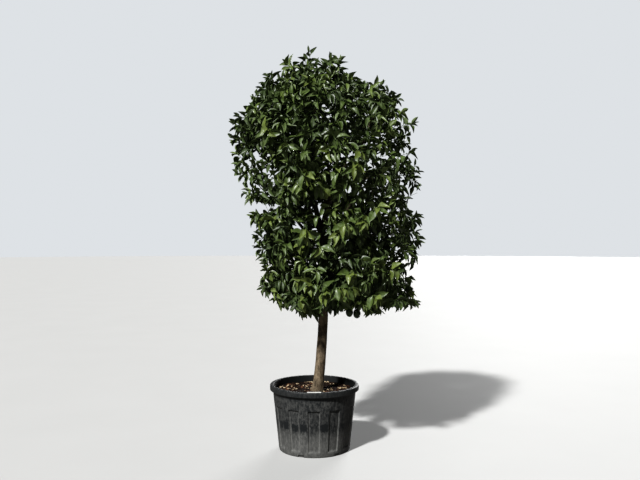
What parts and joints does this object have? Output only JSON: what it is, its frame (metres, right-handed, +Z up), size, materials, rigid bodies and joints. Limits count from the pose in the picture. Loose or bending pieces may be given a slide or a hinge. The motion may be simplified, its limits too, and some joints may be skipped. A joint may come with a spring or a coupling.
{
  "type": "potted bitter orange tree",
  "caption": "Young bitter orange tree with a short clear trunk and an upright oval leafy crown, growing in a round fluted nursery pot.",
  "frame": {"origin": "centre of the pot's flat underside", "axes": "+Z up along the pot's axis; -Y towards the viewer of the picture; +X to the viewer's right"},
  "size_m": [1.3877, 1.403, 2.8332],
  "materials": {
    "pot_plastic": "matt charcoal moulded plastic, dusty and scuffed",
    "potting_mix": "moist brown potting mix with bark chips",
    "label_white": "blank satin white strip",
    "bark": "smooth grey-brown bark with fine upright cracks",
    "foliage": "glossy dark green leaves"
  },
  "bodies": {
    "root": {"lower_bough_1": "bark", "lower_bough_2": "bark", "lower_bough_3": "bark", "lower_bough_4": "bark", "lower_bough_5": "bark", "lower_foliage_1": "foliage", "lower_foliage_2": "foliage", "lower_foliage_3": "foliage", "lower_foliage_4": "foliage", "lower_foliage_5": "foliage", "pot": "pot_plastic", "rim_label": "label_white", "shoulder_bough_1": "bark", "shoulder_bough_2": "bark", "shoulder_bough_3": "bark", "shoulder_bough_4": "bark", "shoulder_bough_5": "bark", "shoulder_foliage_1": "foliage", "shoulder_foliage_2": "foliage", "shoulder_foliage_3": "foliage", "shoulder_foliage_4": "foliage", "shoulder_foliage_5": "foliage", "skirt_bough_1": "bark", "skirt_bough_2": "bark", "skirt_bough_3": "bark", "skirt_bough_4": "bark", "skirt_bough_5": "bark", "skirt_foliage_1": "foliage", "skirt_foliage_2": "foliage", "skirt_foliage_3": "foliage", "skirt_foliage_4": "foliage", "skirt_foliage_5": "foliage", "soil": "potting_mix", "top_bough_1": "bark", "top_bough_2": "bark", "top_foliage_1": "foliage", "top_foliage_2": "foliage", "trunk": "bark", "upper_bough_1": "bark", "upper_bough_2": "bark", "upper_bough_3": "bark", "upper_bough_4": "bark", "upper_bough_5": "bark", "upper_foliage_1": "foliage", "upper_foliage_2": "foliage", "upper_foliage_3": "foliage", "upper_foliage_4": "foliage", "upper_foliage_5": "foliage"}
  },
  "joints": []
}
